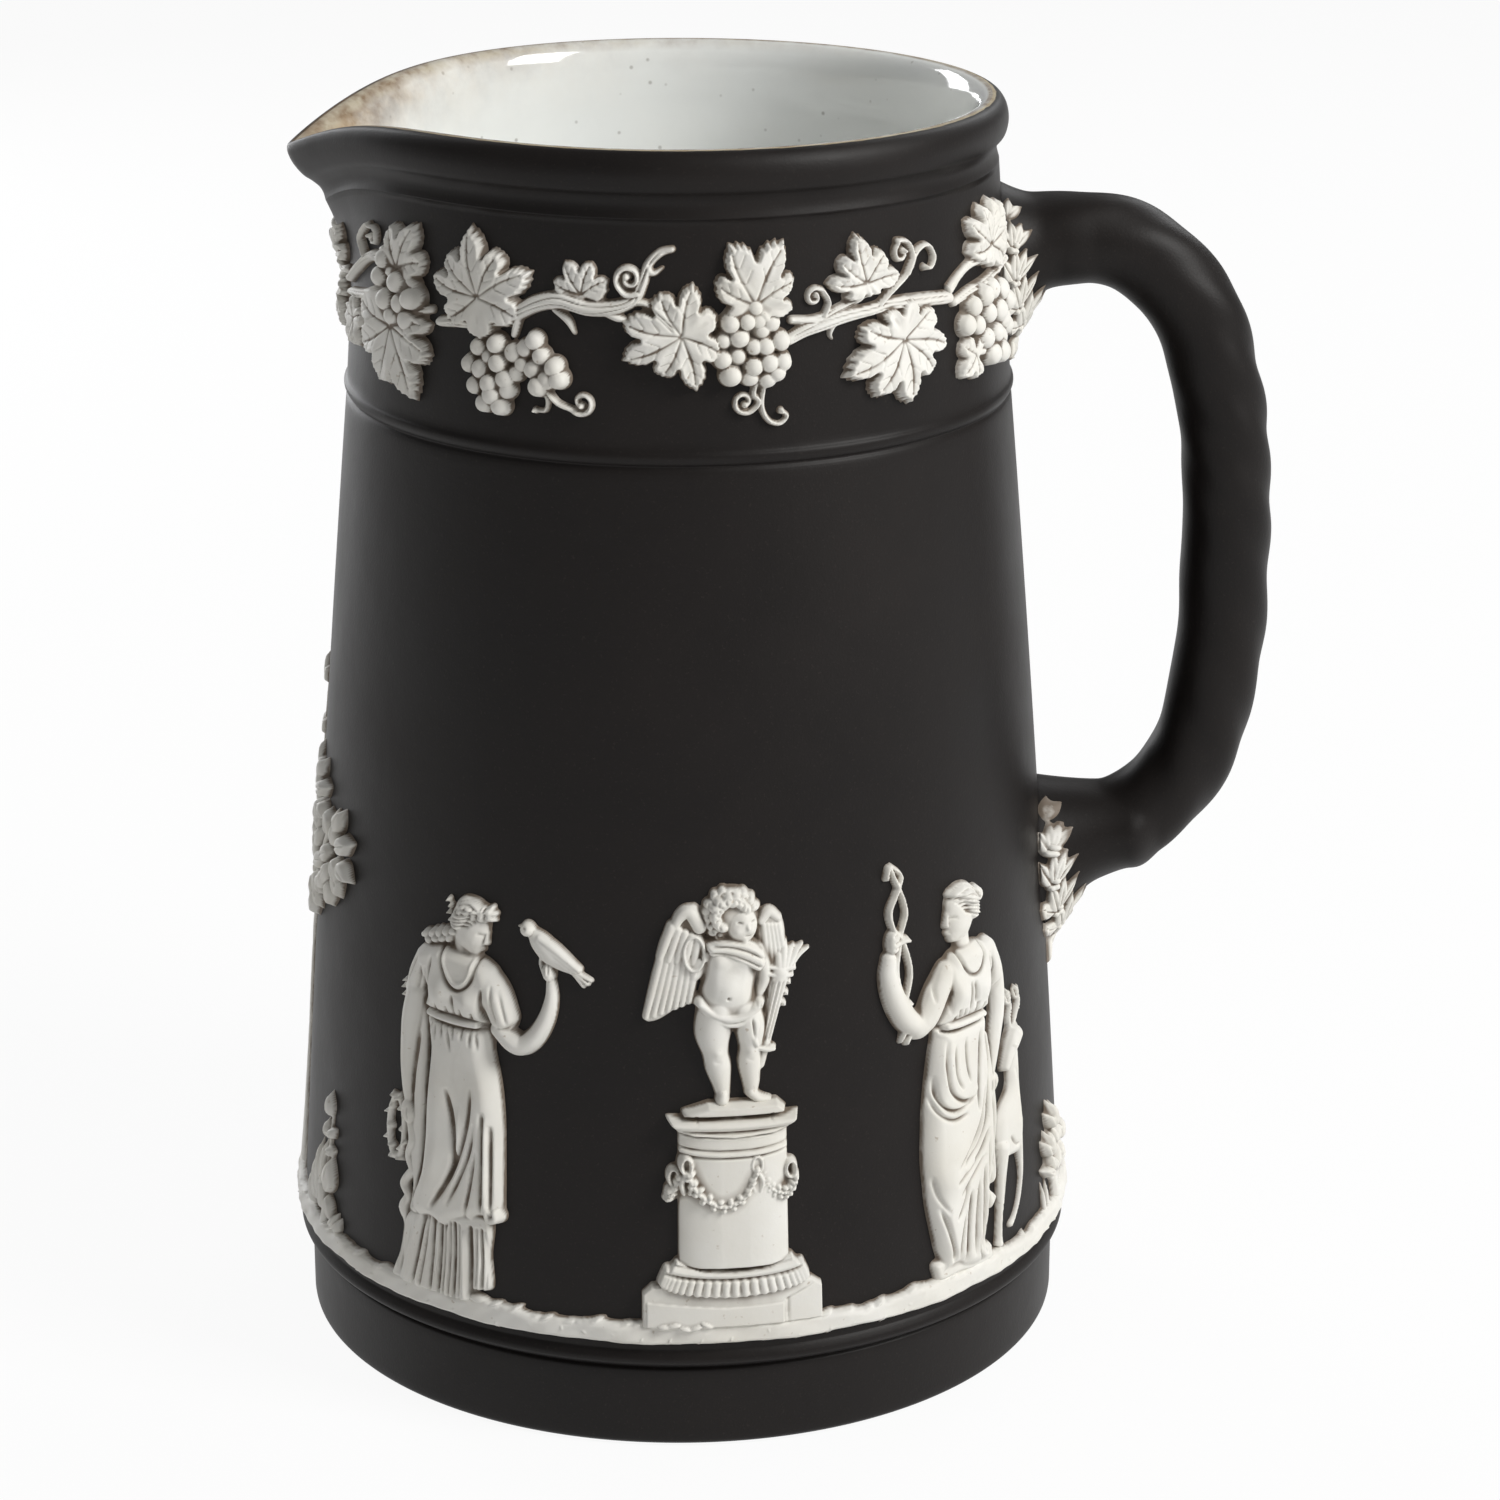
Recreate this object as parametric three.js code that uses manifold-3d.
// A black stoneware jug with white applied reliefs and a glazed inside.
// Millimetres, +Z up. The origin is on the jug's axis, in the plane that it stands on.
// Azimuth 0 is the front (-Y), a quarter turn one way is the handle (+X), the other way the lip (-X).
import * as THREE from "three";
import { mergeVertices } from "three/addons/utils/BufferGeometryUtils.js";
import Module from "manifold-3d";

const wasm = await Module();
wasm.setup();

// Driving dimensions of the turned body
const jugHeight = 190;
const footRadius = 58.6;
const footBandHeight = 12.2;
const footEdgeRound = 1.3;
const footRecess = 0.8;
const footRingWidth = 7;
const footBeadRadius = 60.3;
const footBeadHeight = 2.6;
const wallBottomRadius = 59.6;
const wallNeckRadius = 49.35;
const wallBow = 0.46;
const neckBelowRim = 43;
const neckBeadProud = 0.4;
const neckBeadHeight = 1.9;
const wallTopRadius = 46.8;
const collarHeight = 7.4;
const collarProud = 1.4;
const rimThickness = 3;
const wallThickness = 4;
const floorThickness = 6;
const floorCornerRadius = 8;

// Driving dimensions of the pulled lip
const lipReach = 10.3;
const lipDroop = 7.4;
const lipHalfWidth = 13.4;
const lipRootDrop = 30;

// Driving dimensions of the glaze lining
const glazeThickness = 0.6;
const glazeStopBelowRim = 2.2;

// Driving dimensions of the handle
const handleThickness = 13;
const handleReach = 83;
const handleUpperRootBelowRim = 23;
const handleLowerRootBelowRim = 119;
const handleRise = 1.2;
const handleRootFlare = 1.32;
const handleStrands = 2;
const handleTwists = 3;
const handleStrandDepth = 0.45;

// Driving dimensions of the reliefs
const groundStripBottom = 17;
const groundStripHeight = 4.6;
const groundStripProud = 1.5;
const figureArcRadius = 57;
const vineArcRadius = 48.5;
const vineCentreBelowRim = 25;
const wreathBandWidth = 5;
const wreathProud = 1.7;

// Clearance between two pieces that are luted together, and how far a sprig's raw solid reaches under it
const clearance = 0.3;
const sprigSink = 1.2;

// Facets
const bodySides = 48;
const handleSides = 10;
const handleStations = 30;

const quarter = Math.PI / 2;
const turn = 2 * Math.PI;
const mix = (a, b, t) => a + (b - a) * t;
const clamp = (t) => Math.min(1, Math.max(0, t));

// Heights that hang from the rim
const wallTop = jugHeight - collarHeight;
const neckHeight = jugHeight - neckBelowRim;
const vineCentreHeight = jugHeight - vineCentreBelowRim;
const handleUpperRootHeight = jugHeight - handleUpperRootBelowRim;
const handleLowerRootHeight = jugHeight - handleLowerRootBelowRim;

// The reliefs' own numbers below are millimetres on a jug 190 mm high.
const reliefScale = jugHeight / 190;

// The turned wall's radius at a height: bowed below the neck, straight above it.
function wallRadius(z) {
  if (z > neckHeight) {
    return mix(wallNeckRadius, wallTopRadius, (z - neckHeight) / (wallTop - neckHeight));
  }
  const t = (z - groundStripBottom) / (neckHeight - groundStripBottom);
  return mix(wallBottomRadius, wallNeckRadius, t) + 4 * wallBow * t * (1 - t);
}

// Moves a point of the turned body by what the pulled lip does there.
function pulled(radius, azimuth, z) {
  const fromLip = azimuth + quarter;
  const away = Math.abs(Math.atan2(Math.sin(fromLip), Math.cos(fromLip))) * wallTopRadius;
  const pull = Math.exp(-Math.pow(away / lipHalfWidth, 1.25));
  const rise = clamp((z - (jugHeight - lipRootDrop)) / lipRootDrop);
  const r = radius + lipReach * pull * rise * rise;
  return new THREE.Vector3(
    r * Math.sin(azimuth),
    -r * Math.cos(azimuth),
    z - lipDroop * pull * clamp(rise * (2 - rise)),
  );
}

// Solids

function solidOf(geometry) {
  const bare = new THREE.BufferGeometry();
  bare.setAttribute("position", geometry.getAttribute("position").clone());
  if (geometry.index) bare.setIndex(geometry.index.clone());
  const merged = mergeVertices(bare, 1e-4);
  const vertProperties = new Float32Array(merged.attributes.position.array);
  const triVerts = new Uint32Array(merged.index.array);
  return new wasm.Manifold(new wasm.Mesh({ numProp: 3, vertProperties, triVerts }));
}

function geometryOf(solid) {
  const { numProp, numVert, vertProperties, triVerts } = solid.getMesh();
  const position = new Float32Array(numVert * 3);
  for (let i = 0; i < numVert; i++) {
    position.set(vertProperties.subarray(i * numProp, i * numProp + 3), i * 3);
  }
  const geometry = new THREE.BufferGeometry();
  geometry.setAttribute("position", new THREE.BufferAttribute(position, 3));
  geometry.setIndex(new THREE.BufferAttribute(triVerts, 1));
  return geometry;
}

function joined(solids) {
  return solids.reduce((sum, solid) => sum.add(solid));
}

// A closed skin over rings of points, each quad split along its shorter diagonal. The first and last ring
// are capped by a fan on their middle, the last one raised to a crown, or joined where loop is set.
function skin(rings, loop = false, crown = 0) {
  const sides = rings[0].length;
  const points = rings.flat();
  const faces = [];
  const bands = loop ? rings.length : rings.length - 1;
  for (let i = 0; i < bands; i++) {
    const low = i * sides;
    const high = ((i + 1) % rings.length) * sides;
    for (let j = 0; j < sides; j++) {
      const k = (j + 1) % sides;
      const rising = points[low + j].distanceTo(points[high + k]);
      const falling = points[low + k].distanceTo(points[high + j]);
      if (rising <= falling) faces.push(low + j, low + k, high + k, low + j, high + k, high + j);
      else faces.push(low + j, low + k, high + j, low + k, high + k, high + j);
    }
  }
  if (!loop) {
    const last = (rings.length - 1) * sides;
    const middle = (ring) => ring.reduce((sum, p) => sum.add(p), new THREE.Vector3()).divideScalar(sides);
    points.push(middle(rings[0]), middle(rings[rings.length - 1]).add(new THREE.Vector3(0, 0, crown)));
    for (let j = 0; j < sides; j++) {
      const k = (j + 1) % sides;
      faces.push(points.length - 2, k, j, points.length - 1, last + j, last + k);
    }
  }
  const geometry = new THREE.BufferGeometry().setFromPoints(points);
  geometry.setIndex(faces);
  return geometry;
}

// A turned form from [radius, height] rows that run up the outside, pulled to the lip where it reaches it.
function turned(rows, sides, loop = false) {
  const rings = rows.map(([radius, z]) =>
    Array.from({ length: sides }, (_, j) => pulled(radius, (j / sides) * turn, z)),
  );
  return skin(rings, loop);
}

// The body

function outerRows(proud) {
  const beadMiddle = footBandHeight + footEdgeRound + footBeadHeight / 2;
  const beadTop = beadMiddle + footBeadHeight / 2;
  const row = (z, extra = 0) => [wallRadius(z) + extra + proud, z];
  const wallShares = [0.26, 0.6];
  const borderShares = [0.36, 0.59, 0.79];
  return [
    [footRadius + proud, footEdgeRound],
    [footRadius + proud, footBandHeight],
    [footRadius - 0.5 + proud, footBandHeight + footEdgeRound / 2],
    [footRadius + 0.6 + proud, footBandHeight + footEdgeRound],
    [footBeadRadius + proud, beadMiddle],
    row(beadTop),
    ...wallShares.map((share) => row(mix(beadTop, neckHeight, share))),
    row(neckHeight - 1.2),
    row(neckHeight - 0.6, -0.3),
    row(neckHeight + neckBeadHeight * 0.15, neckBeadProud),
    row(neckHeight + neckBeadHeight * 0.7, neckBeadProud),
    row(neckHeight + neckBeadHeight),
    ...borderShares.map((share) => row(mix(neckHeight, wallTop, share))),
    row(wallTop, -0.3),
  ];
}

function collarRows() {
  const out = wallTopRadius + collarProud;
  const crest = jugHeight;
  const inside = wallTopRadius - rimThickness;
  return [
    [out - 0.5, wallTop + 1.1],
    [out, crest - 3.6],
    [out - 0.35, crest - 1.4],
    [out - 1.2, crest - 0.25],
    [out - 2, crest],
    [inside + 0.7, crest - 0.5],
    [inside, crest - 2],
  ];
}

function insideRows(gap) {
  const radius = (z) => wallRadius(z) - wallThickness - gap;
  const floor = floorThickness + gap;
  const round = floorCornerRadius;
  const corner = radius(floor + round);
  const row = (z) => [radius(z), z];
  return [
    row(mix(neckHeight, wallTop, 0.65)),
    row(neckHeight),
    row(mix(floor + round, neckHeight, 0.46)),
    [corner, floor + round],
    [corner - round * 0.29, floor + round * 0.29],
    [corner - round, floor],
    [0, floor],
  ];
}

function bodySolid() {
  const recessRadius = footRadius - footRingWidth;
  return solidOf(
    turned(
      [
        [0, footRecess],
        [recessRadius, footRecess],
        [recessRadius + footRecess, 0],
        [footRadius - footEdgeRound, 0],
        [footRadius - footEdgeRound * 0.3, footEdgeRound * 0.3],
        ...outerRows(0),
        ...collarRows(),
        ...insideRows(0),
      ],
      bodySides,
    ),
  );
}

// The glaze follows the inside of the wall, a clearance away from it, and stops below the rim.
function liningSolid() {
  const stop = jugHeight - glazeStopBelowRim;
  const top = (gap) => [wallTopRadius - rimThickness - clearance - gap, stop];
  const outer = insideRows(clearance);
  const inner = insideRows(clearance + glazeThickness);
  return solidOf(turned([...outer.reverse(), top(0), top(glazeThickness), ...inner], bodySides));
}

// What every luted piece is cut by, so that it seats on the wall with a clearance.
const wallKeepout = solidOf(
  turned([[0, -clearance], ...outerRows(clearance), [0, wallTop + clearance]], bodySides),
);

const groundTop = groundStripBottom + groundStripHeight;
function groundRows(gap) {
  const row = (z, proud) => [wallRadius(z) + proud, z];
  const proud = groundStripProud + gap;
  return [
    row(groundStripBottom - gap, clearance - gap),
    row(groundStripBottom - gap, proud * 0.8),
    row(groundStripBottom + groundStripHeight * 0.25, proud),
    row(groundStripBottom + groundStripHeight * 0.7, proud),
    row(groundTop + gap, proud * 0.6),
    row(groundTop + gap, clearance - gap),
  ];
}
const groundKeepout = solidOf(turned(groundRows(clearance), bodySides, true));

// The handle

function handleForm(grow = 0) {
  const rootRadius = (z) => wallRadius(z) - wallThickness / 2;
  const upper = handleUpperRootHeight;
  const lower = handleLowerRootHeight;
  const drop = upper - lower;
  const out = (share) => mix(wallRadius((upper + lower) / 2), handleReach, share);
  const path = new THREE.CatmullRomCurve3(
    [
      [rootRadius(upper), upper - 0.5],
      [out(0.33), upper + handleRise],
      [out(0.58), upper - drop * 0.02],
      [out(0.8), upper - drop * 0.1],
      [out(0.94), upper - drop * 0.23],
      [out(1), upper - drop * 0.44],
      [out(0.98), upper - drop * 0.65],
      [out(0.8), upper - drop * 0.835],
      [out(0.5), upper - drop * 0.95],
      [out(0.2), upper - drop * 0.995],
      [rootRadius(lower), lower],
    ].map(([x, z]) => new THREE.Vector3(x, 0, z)),
  );
  const rings = [];
  for (let i = 0; i <= handleStations; i++) {
    const t = i / handleStations;
    const centre = path.getPointAt(t);
    const along = path.getTangentAt(t);
    const across = new THREE.Vector3(0, 1, 0);
    const away = new THREE.Vector3().crossVectors(along, across);
    const root = Math.pow(Math.abs(2 * t - 1), 8);
    const flare = mix(1, t > 0.5 ? handleRootFlare * 1.35 : handleRootFlare, root);
    rings.push(
      Array.from({ length: handleSides }, (_, j) => {
        const a = -(j / handleSides) * turn;
        const strand = handleStrandDepth * Math.cos(handleStrands * a - handleTwists * turn * t) * (1 - root);
        const r = handleThickness / 2 - handleStrandDepth / 2 + strand + grow;
        return centre
          .clone()
          .addScaledVector(away, r * flare * Math.cos(a))
          .addScaledVector(across, r * mix(1, 1.1, root) * Math.sin(a));
      }),
    );
  }
  return solidOf(skin(rings));
}

// Relief forms. They are made flat, with x to the right, y up and z out of the wall, and then laid on it.

// A low dome on an oval.
function dome(x, y, rx, ry, proud, { tilt = 0, base = 0, sides = 8, rows = 4 } = {}) {
  const geometry = new THREE.SphereGeometry(1, sides, rows);
  geometry.rotateX(quarter);
  geometry.scale(rx, ry, proud);
  geometry.rotateZ(tilt);
  geometry.translate(x, y, base);
  return solidOf(geometry);
}

// A rounded limb through [x, y, half width] stops, lift times as high as its half width, above base.
function limb(stops, lift = 1, { base = 0, sides = 4, loop = false } = {}) {
  const curve = new THREE.CatmullRomCurve3(
    stops.map(([x, y, r]) => new THREE.Vector3(x, y, r)),
    loop,
  );
  const points = curve.getPoints(stops.length - (loop ? 0 : 1));
  if (loop) points.pop();
  const last = points.length - 1;
  const near = (i) => (loop ? points.at(i % points.length) : points[Math.min(last, Math.max(0, i))]);
  const rings = points.map((p, i) => {
    const before = near(i - 1);
    const after = near(i + 1);
    const side = new THREE.Vector2(after.y - before.y, before.x - after.x).normalize();
    return Array.from({ length: sides }, (_, j) => {
      const a = -(j / sides) * turn;
      const reach = p.z * Math.cos(a);
      return new THREE.Vector3(p.x + side.x * reach, p.y + side.y * reach, base + p.z * lift * Math.sin(a));
    });
  });
  return solidOf(skin(rings, loop));
}

// Stops on an oval, for a ring that is held or hung.
function ovalStops(x, y, rx, ry, halfWidth, count = 8) {
  return Array.from({ length: count }, (_, i) => {
    const a = (i / count) * turn;
    return [x + rx * Math.cos(a), y + ry * Math.sin(a), halfWidth];
  });
}

// Cloth or a turned form as a stack of [y, left, right, proud] sections with a domed, fluted face.
function stacked(sections, flutes = 0, depth = 0.25, across = 7) {
  const rings = sections.map(([y, left, right, proud]) => {
    const ring = [new THREE.Vector3(left, y, -sprigSink), new THREE.Vector3(right, y, -sprigSink)];
    for (let j = 0; j < across; j++) {
      const s = 1 - (2 * j) / (across - 1);
      const crown = Math.sqrt(1 - s * s * 0.8);
      const flute = flutes ? depth * Math.cos(flutes * Math.PI * s) : 0;
      ring.push(new THREE.Vector3(mix(left, right, (s + 1) / 2), y, (proud + flute) * crown));
    }
    return ring.reverse();
  });
  return solidOf(skin(rings));
}

// A leaf with a lobe for each [direction in degrees, reach], its rim thin and its middle raised.
function leaf(x, y, lobes, proud = 1.5, notch = 0.62) {
  const outline = lobes.flatMap(([degrees, reach], i) => {
    const [nextDegrees, nextReach] = lobes[(i + 1) % lobes.length];
    const middle = (degrees + nextDegrees + (i === lobes.length - 1 ? 360 : 0)) / 2;
    return [[degrees, reach], [middle, Math.min(reach, nextReach) * notch]];
  });
  const ring = (share, z) =>
    outline.map(([degrees, reach]) => {
      const a = THREE.MathUtils.degToRad(degrees);
      return new THREE.Vector3(x + reach * share * Math.cos(a), y + reach * share * Math.sin(a), z);
    });
  return solidOf(skin([ring(1, -sprigSink), ring(1, proud * 0.6)], false, proud * 0.5));
}

// A vine leaf: five lobes round a stalk that comes in opposite to the tip's direction.
function vineLeaf(x, y, reach, tip) {
  const lobes = [
    [-140, 0.72],
    [-68, 0.9],
    [0, 1],
    [68, 0.9],
    [140, 0.72],
  ];
  return leaf(x, y, lobes.map(([degrees, share]) => [tip + degrees, reach * share]));
}

// A hanging bunch of grapes in rows that narrow downwards, its face lobed for each grape.
function grapes(x, y, rowCounts, size, lean = 0) {
  const widest = Math.max(...rowCounts);
  const across = 2 * widest + 1;
  const rings = [];
  rowCounts.forEach((count, row) => {
    const halfWidth = (count * size * 1.75) / 2;
    [0.85, 0, -0.85].slice(row ? 1 : 0).forEach((up, part, parts) => {
      const valley = part === parts.length - 1 && row < rowCounts.length - 1;
      const middle = y - row * size * 1.5 + up * size;
      const proud = size * (up === 0 ? 1.5 : 0.8);
      const half = halfWidth * (up === 0 || valley ? 1 : 0.6);
      const centre = x + lean * row;
      const ring = [new THREE.Vector3(centre + half, middle, -sprigSink)];
      ring.unshift(new THREE.Vector3(centre - half, middle, -sprigSink));
      for (let j = 0; j < across; j++) {
        const s = 1 - (2 * j) / (across - 1);
        const grape = 0.62 + 0.38 * Math.abs(Math.sin(((s + 1) / 2) * count * Math.PI));
        ring.push(new THREE.Vector3(centre + half * s, middle, proud * grape));
      }
      rings.push(ring.reverse());
    });
  });
  return solidOf(skin(rings.reverse()));
}

// A tendril from its stem to a roll round a centre, way 1 or -1 round.
function tendril(x, y, centreX, centreY, roll, way = 1) {
  const arms = 6;
  const turns = 1.15;
  const start = Math.atan2(y - centreY, x - centreX);
  const stops = [[x, y, 0.6]];
  for (let i = 1; i <= arms; i++) {
    const t = i / arms;
    const angle = start + way * t * turns * turn;
    const r = roll * (1 - 0.7 * t);
    stops.push([centreX + r * Math.cos(angle), centreY + r * Math.sin(angle), mix(0.6, 0.45, t)]);
  }
  return limb(stops, 1.9, { sides: 3 });
}

// Lays flat relief solids on the wall round an azimuth and cuts their backs to seat there.
function laid(solids, azimuth, arcRadius, baseHeight, cutters = []) {
  const geometry = geometryOf(joined(solids)).scale(reliefScale, reliefScale, reliefScale);
  const position = geometry.getAttribute("position");
  for (let i = 0; i < position.count; i++) {
    const z = baseHeight + position.getY(i);
    const at = azimuth + position.getX(i) / arcRadius;
    const p = pulled(wallRadius(z) + position.getZ(i), at, z);
    position.setXYZ(i, p.x, p.y, p.z);
  }
  const cut = [wallKeepout, ...cutters].reduce((solid, cutter) => solid.subtract(cutter), solidOf(geometry));
  return cut.decompose().sort((a, b) => b.volume() - a.volume())[0];
}

// The room that a seated piece's neighbour keeps clear of: the piece moved by the clearance each way.
function cleared(solid) {
  const moves = [-clearance, 0, clearance];
  const shifts = moves.flatMap((x) => moves.flatMap((y) => moves.map((z) => [x, y, z])));
  return joined(shifts.filter((shift) => shift.every((v) => v !== 0)).map((shift) => solid.translate(shift)));
}

const laidFigure = (solids, azimuth, cutters = []) =>
  laid(solids, azimuth, figureArcRadius, groundStripBottom, [groundKeepout, ...cutters]);
const laidVine = (solids, azimuth, cutters = []) =>
  laid(solids, azimuth, vineArcRadius, vineCentreHeight, cutters);

// Figures. Heights are above the ground strip's lower edge.

function doveWoman() {
  const skirt = [
    [15.5, -7.5, 9.4, 2],
    [19, -5.6, 9.8, 2.4],
    [25, -3.8, 9.7, 2.6],
    [33, -3.8, 9.4, 2.6],
    [41, -3.3, 7.8, 2.6],
    [47, -3.6, 6.7, 2.4],
  ];
  const hem = [
    [3.4, -9, 8, 2],
    [9, -8.3, 8, 1.8],
    [17, -7.4, 8.2, 1.8],
  ];
  const bodice = [
    [46.5, -3.8, 6.5, 2.5],
    [51, -4.8, 7.6, 2.9],
    [54, -5.6, 8, 2.6],
    [56.8, -3.5, 5.5, 1.8],
    [59, 0.6, 4.6, 1.8],
  ];
  return [
    stacked(skirt, 3),
    stacked(hem, 7),
    stacked(bodice),
    dome(4, 61.2, 4.6, 4.7, 2.8, { tilt: -0.4 }),
    limb([[0.5, 62, 1.2], [-1.5, 59.5, 1.2], [-4.6, 57.6, 0.9]], 1.3),
    limb([[6.4, 54.2, 2.4], [9.4, 50, 2.6], [11.2, 46, 2.3]], 1),
    limb([[10.4, 46.4, 2], [12.8, 44.9, 1.8], [16.4, 49.5, 1.7], [17.3, 54.4, 1.1], [16.3, 56.6, 1]], 1.1),
    limb([[13.2, 62, 0.8], [14.6, 61, 1.5], [17, 58.7, 1.9], [19.6, 56.8, 1.3], [21.6, 55.4, 0.6]], 1.1),
    limb([[-4.6, 54, 2.2], [-7.2, 49.5, 2.2], [-8, 41, 1.7], [-8, 35, 1.5], [-7.2, 30.5, 1.2]], 1.1),
    limb([[-5, 47, 1.2], [-5.1, 33, 1.3], [-6, 21, 1.6], [-7.6, 12, 1.3]], 1.1),
    limb(ovalStops(-9.3, 26.4, 2.3, 5, 0.95), 1.6, { loop: true }),
    dome(7, 4.4, 2.6, 1.2, 1.8),
  ];
}

function wingedBoy() {
  const torso = [
    [50, -4.6, 3.9, 2.2],
    [54, -4.1, 3.8, 2.7],
    [58, -4, 4.6, 2.5],
    [61.5, -3.6, 4.2, 2.2],
    [63.5, -1.8, 2.8, 1.8],
  ];
  return [
    stacked(torso),
    dome(0.8, 65.6, 3.5, 3.5, 2.8),
    limb([[-2.7, 51, 2.3], [-2.3, 46, 1.8], [-1.7, 42, 1.5], [-1.5, 39.5, 1.1], [-1.5, 38.2, 1]], 1.1),
    limb([[1.6, 51, 2.3], [2.2, 46.5, 1.9], [2.4, 43, 1.6], [2.9, 40, 1.1], [4.6, 38.7, 0.8]], 1.1),
    limb([[-4, 65, 1.6], [-7.4, 62, 2.6], [-9.6, 55.5, 2.2], [-11.4, 51, 0.9]], 0.7),
    dome(5.8, 62.4, 2.5, 4.2, 1.5, { tilt: 0.15 }),
    limb(ovalStops(-5, 59.6, 1.5, 2.9, 0.8), 2.2, { loop: true }),
    limb([[3.6, 60.5, 1.5], [5.2, 56.5, 1.5], [5, 53, 1.2]], 1.2),
    limb([[4.2, 43, 0.7], [6.4, 51, 1.1], [8, 56.6, 1.4], [8.8, 58.6, 1.7], [10.4, 59.4, 0.7]], 1.3),
  ];
}

function pedestal() {
  const shaft = [
    [2.6, -12.7, 12.5, 2.4],
    [8.9, -12.7, 12.5, 2.4],
    [9.2, -10.3, 10.7, 2.9],
    [11.2, -9.6, 10, 2.9],
    [13, -7.6, 8, 2.4],
    [32.4, -7.3, 7.7, 2.4],
    [33.4, -7.4, 7.8, 2.6],
    [35, -9, 9.4, 3],
    [35.7, -9.2, 9.5, 3],
    [35.8, -6.5, 7.3, 2.2],
    [37.4, -6.5, 7.3, 2],
  ];
  const swag = (left, right, low) => {
    const middle = (left + right) / 2;
    return limb(
      [[left, 29, 0.5], [mix(left, middle, 0.4), low + 1.6, 0.7], [middle, low, 0.9],
        [mix(right, middle, 0.4), low + 1.6, 0.7], [right, 29, 0.5]],
      1, { base: 2.2, sides: 5 },
    );
  };
  return [stacked(shaft), swag(-6.2, 3.4, 22.8), swag(3.8, 8.2, 23.6)];
}

function scarfWoman() {
  const dress = [
    [3.6, -6.4, 4.6, 1.9],
    [9, -6.1, 4.4, 2.2],
    [15, -7.6, 5.8, 2.4],
    [23, -8.3, 7, 2.6],
    [30, -7.6, 6.5, 2.7],
    [37, -6.4, 5.5, 2.7],
    [43, -4.7, 4.8, 2.5],
  ];
  const bodice = [
    [42.5, -4.8, 4.6, 2.5],
    [47, -4.8, 5.6, 2.9],
    [52, -4.6, 8, 2.7],
    [54.6, -2.4, 6.2, 1.9],
    [57, -0.8, 3.2, 1.8],
  ];
  return [
    stacked(dress, 4),
    stacked(bodice),
    dome(0.7, 59.4, 4.3, 4.4, 2.8),
    dome(4.4, 59.7, 2.2, 2, 2.2),
    limb([[-3.2, 51.8, 2.1], [-6.2, 47.6, 1.9], [-8.4, 44.4, 1.9], [-10.6, 44.6, 1.9]], 1.1),
    limb([[-10.6, 44.6, 1.9], [-12.6, 49, 1.9], [-13, 54, 1.6], [-12.4, 58, 1.2]], 1.1),
    limb([[-12, 68.4, 1], [-11.3, 65.4, 0.8], [-12.1, 61.5, 1.3], [-11, 57, 0.9], [-10.2, 52.6, 1.2],
      [-10.5, 47.5, 0.9], [-10.8, 43, 0.9]], 1.4),
    limb([[7.4, 52.6, 2.1], [9.8, 47.6, 1.9], [10.3, 43, 1.9], [9, 38.4, 1.6], [7.6, 34, 1.3],
      [6.8, 31.2, 1.2]]),
    limb([[6, 31, 1.4], [6.6, 22, 1.3], [5.4, 13, 1.1]], 1.2),
  ];
}

function deer() {
  return [
    limb([[12.6, 35.6, 1.8], [12.6, 28, 2.6], [11.6, 21, 3.1], [12, 18.6, 2.2]], 0.8),
    limb([[10.6, 33.4, 1], [12.4, 35, 1.4], [14, 37, 1.5]], 1),
    limb([[14, 37.2, 0.7], [13.2, 39.4, 0.6], [13.8, 41.4, 0.5]], 1.5, { sides: 3 }),
    limb([[14.4, 36.6, 0.7], [16, 37.6, 0.6], [15.8, 39.8, 0.5]], 1.5, { sides: 3 }),
    limb([[9, 21, 1.5], [8.2, 13, 1], [7.2, 5, 0.8]], 1.1),
    limb([[13.6, 20, 1.8], [15, 14.4, 1.2], [13.4, 10.4, 0.9], [9.4, 6.6, 0.8]], 1.1),
  ];
}

// Trees and bushes

function lipTree() {
  const clump = (x, y, reach, tip) => vineLeaf(x, y, reach, tip);
  return [
    limb([[0, 3, 3.2], [-1, 20, 2.4], [1, 40, 2.1], [4, 52, 1.7], [9, 60, 1.4], [17, 61, 1.1]], 0.9),
    limb([[1, 40, 1.8], [-4, 54, 1.5], [-12, 62, 1.1]], 0.9),
    limb([[3, 50, 1.5], [2, 68, 1.2], [4, 88, 0.8]], 1),
    clump(22, 62, 8.5, 0),
    clump(12, 66, 6, 60),
    clump(5, 78, 5.5, 100),
    clump(4, 91, 4.5, 90),
    clump(-3, 70, 5.5, 120),
    clump(-15, 63, 8, 170),
    clump(-9, 56, 5.5, 230),
    clump(16, 55, 5, 290),
  ];
}

function bush() {
  return [
    limb([[-1, 3.2, 1.6], [0, 14, 1.1], [1.6, 25, 0.9]], 1.1),
    vineLeaf(-3, 9, 6, 150),
    vineLeaf(2.6, 8, 5.5, 20),
    vineLeaf(3.4, 16, 4.2, 50),
    vineLeaf(-1.6, 18, 3.8, 120),
    dome(1.6, 26, 1.9, 1.5, 1.6),
  ];
}

function sapling() {
  return [
    limb([[1, 3.2, 2], [0, 12, 1.4], [-1.4, 17.6, 1]], 1.1),
    vineLeaf(1.6, 9, 5.4, 30),
    vineLeaf(-1.8, 18.4, 3.4, 150),
    dome(-4, 18, 1.6, 1.4, 1.4),
  ];
}

// Vine sprigs. Heights are from the middle of the vine border.

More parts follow.
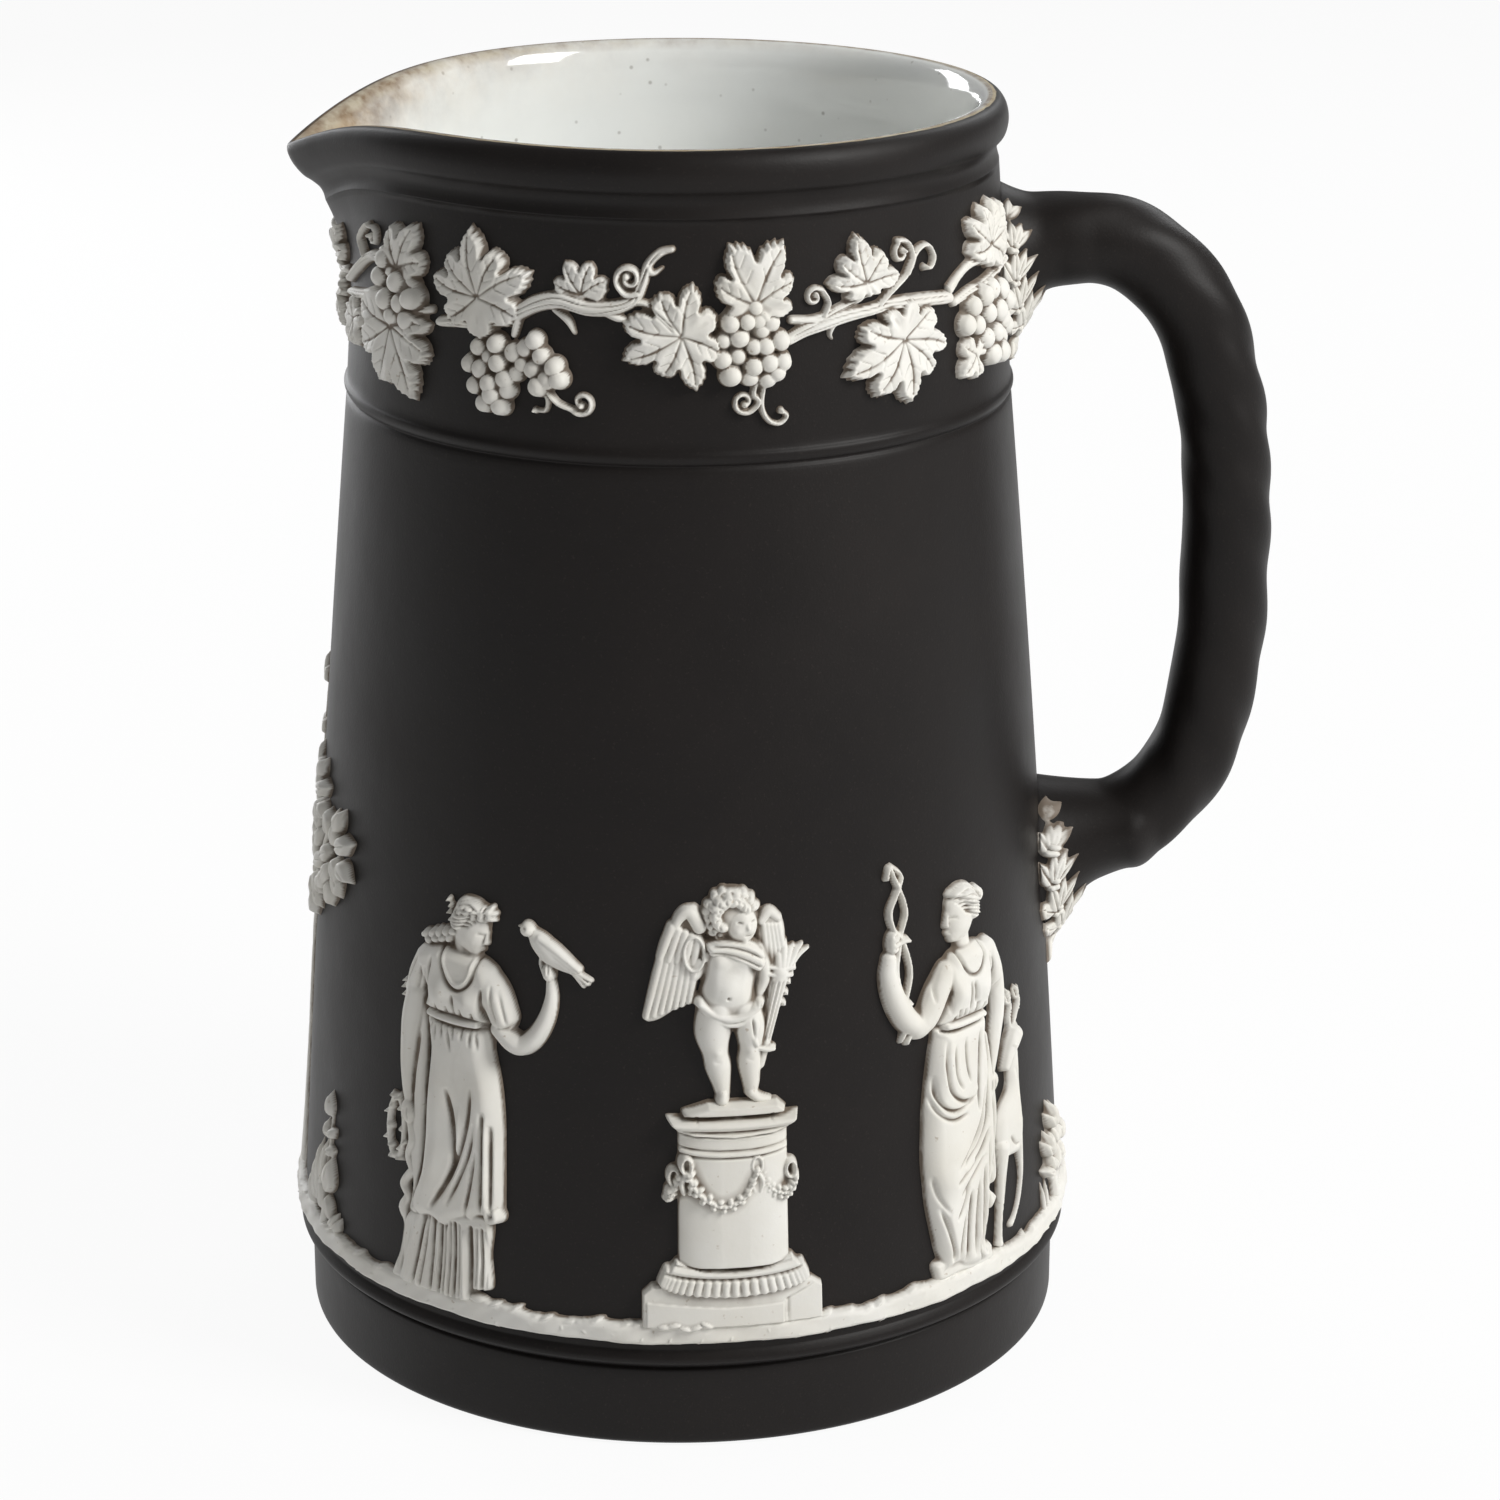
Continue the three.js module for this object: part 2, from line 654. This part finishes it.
function pairedLeaves() {
  return [
    limb([[-16, 2, 1.1], [-10, 5, 1], [-3, 3, 1], [3, 1, 1.1], [10.4, -1.6, 1.1]], 1.3),
    vineLeaf(4, 7, 6.2, 90),
    vineLeaf(2, -4.6, 10, 250),
    grapes(3.6, 3.4, [2, 3], 1.5),
    vineLeaf(-9.4, 8, 5.4, 130),
  ];
}

function tallLeaf() {
  return [
    vineLeaf(-2.6, 5.4, 8.4, 97),
    grapes(-0.4, -2.6, [4, 3, 3, 2], 1.6),
    grapes(7, -2.8, [3, 2, 2], 1.6),
    limb([[-6.6, -1.8, 1.1], [1, 1, 1.2], [6.6, 3.4, 1.2], [13, 4.1, 1.3], [18.6, 4.9, 1], [21.6, 7.6, 0.8],
      [23.2, 10.8, 0.7], [25.6, 11.8, 0.6]], 1.3),
    vineLeaf(13, 7.4, 4, 90),
    tendril(8, -6.4, 13, -9.8, 1.7, -1),
  ];
}

function grapeLeaf() {
  return [
    vineLeaf(-2.6, 0.6, 8, 230),
    vineLeaf(8.4, 6.6, 6.8, 80),
    grapes(7, 3, [3, 4, 4, 3, 2], 1.5),
    tendril(7.6, -7.6, 9.4, -11.2, 2, 1),
  ];
}

function curlLeaf() {
  return [
    limb([[-12.4, -0.6, 1.3], [-6, 0.9, 1.2], [0, 1.8, 1.2], [7, 1.4, 1.2], [16, 2.4, 1]], 1.3),
    limb([[-1, 1, 0.9], [-1.6, 4, 0.8], [-2, 7, 0.8]], 1.4),
    vineLeaf(-2, 6.8, 6.3, 100),
    vineLeaf(4, -4.4, 9.4, 280),
    tendril(-7, 1.4, -10, 3.8, 1.4, -1),
    tendril(4.6, 3.4, 6.6, 7.8, 1.9, -1),
    tendril(5.2, 4.4, 10.6, 6.6, 1.8, 1),
  ];
}

function broadLeaf() {
  return [
    limb([[-7.2, 2.6, 1], [-2, 4.6, 1], [4, 3.4, 1]], 1.3),
    vineLeaf(0, 8, 7, 70),
    grapes(0.6, 1.6, [3, 4, 3, 2], 1.8),
    vineLeaf(-5, -8, 3.6, 240),
  ];
}

function lipLeaves() {
  return [
    limb([[-7, -1, 1], [0, 1.4, 1.1], [7, 1.6, 1]], 1.3),
    vineLeaf(-1.6, -4.6, 7, 260),
    vineLeaf(3.4, 4.4, 4.6, 60),
    grapes(-4.2, 2.2, [2, 2], 1.5),
  ];
}

// A laurel wreath round a handle root, its edges notched for each pair of leaves.
function wreath(rx, ry) {
  const pairs = 9;
  const rings = Array.from({ length: 2 * pairs }, (_, i) => {
    const a = (i / (2 * pairs)) * turn;
    const spread = (wreathBandWidth / 2) * (i % 2 ? 1 : 0.55);
    const at = (off, z) => new THREE.Vector3((rx + off) * Math.cos(a), (ry + off) * Math.sin(a), z);
    return [
      at(-spread, wreathProud * 0.6),
      at(0, wreathProud),
      at(spread, wreathProud * 0.6),
      at(spread, -sprigSink),
      at(-spread, -sprigSink),
    ];
  });
  return [solidOf(skin(rings, true))];
}

// The pieces, each with its own finish

const finish = (color, roughness) => () => new THREE.MeshStandardMaterial({ color, roughness });
const blackStoneware = finish(0x2a2725, 0.72);
const whiteStoneware = finish(0xdedbd0, 0.6);
const paleGlaze = finish(0xdcdedb, 0.12);

const jug = new THREE.Group();
function addPiece(name, solid, material) {
  const mesh = new THREE.Mesh(geometryOf(solid), material);
  mesh.name = name;
  jug.add(mesh);
}
const addRelief = (name, solid) => addPiece(name, solid, whiteStoneware());

addPiece("body", bodySolid(), blackStoneware());
addPiece("glaze_lining", liningSolid(), paleGlaze());
addPiece("handle", handleForm().subtract(wallKeepout), blackStoneware());
addRelief("ground_strip", solidOf(turned(groundRows(0), bodySides, true)));

const rootRoom = [handleForm(clearance)];
const upperWreathHeight = handleUpperRootHeight - 3.4;
const upperWreath = laid(wreath(10.4, 12.6), quarter, vineArcRadius, upperWreathHeight, rootRoom);
addRelief("upper_wreath", upperWreath);
addRelief("lower_wreath", laid(wreath(10.4, 14), quarter, figureArcRadius, handleLowerRootHeight, rootRoom));

// Where each relief's middle stands from the middle of its side, as an arc on the wall.
const figurePlaces = { doveWoman: -36, pedestal: 7, scarfWoman: 45, bush: -65, sapling: 74 };
const vinePlaces = { pairedLeaves: -48, tallLeaf: -27, grapeLeaf: 3, curlLeaf: 29, broadLeaf: 54.6 };

const lipSprig = laidVine(lipLeaves(), -quarter);
addRelief("vine_lip_leaves", lipSprig);
const lipTreeSprig = laidFigure(lipTree(), -quarter);
addRelief("lip_tree", lipTreeSprig);
const treeRoom = [cleared(lipTreeSprig)];

[
  ["front", 0],
  ["back", Math.PI],
].forEach(([side, turnBy]) => {
  const figureAt = (place) => turnBy + (reliefScale * figurePlaces[place]) / figureArcRadius;
  const vineAt = (place) => turnBy + (reliefScale * vinePlaces[place]) / vineArcRadius;

  addRelief(`dove_woman_${side}`, laidFigure(doveWoman(), figureAt("doveWoman")));
  addRelief(`pedestal_${side}`, laidFigure(pedestal(), figureAt("pedestal")));
  addRelief(`winged_boy_${side}`, laidFigure(wingedBoy(), figureAt("pedestal")));
  const woman = laidFigure(scarfWoman(), figureAt("scarfWoman"));
  addRelief(`scarf_woman_${side}`, woman);
  addRelief(`deer_${side}`, laidFigure(deer(), figureAt("scarfWoman"), [cleared(woman)]));
  addRelief(`bush_${side}`, laidFigure(bush(), figureAt("bush"), treeRoom));
  addRelief(`sapling_${side}`, laidFigure(sapling(), figureAt("sapling"), treeRoom));

  const builders = { pairedLeaves, tallLeaf, grapeLeaf, curlLeaf, broadLeaf };
  const names = {
    pairedLeaves: "vine_paired_leaves",
    tallLeaf: "vine_tall_leaf",
    grapeLeaf: "vine_grape_leaf",
    curlLeaf: "vine_curl_leaf",
    broadLeaf: "vine_broad_leaf",
  };
  let room = [lipSprig, upperWreath].map(cleared);
  Object.keys(builders).forEach((place) => {
    const sprig = laidVine(builders[place](), vineAt(place), room);
    addRelief(`${names[place]}_${side}`, sprig);
    room = [...room, cleared(sprig)];
  });
});

export default jug;
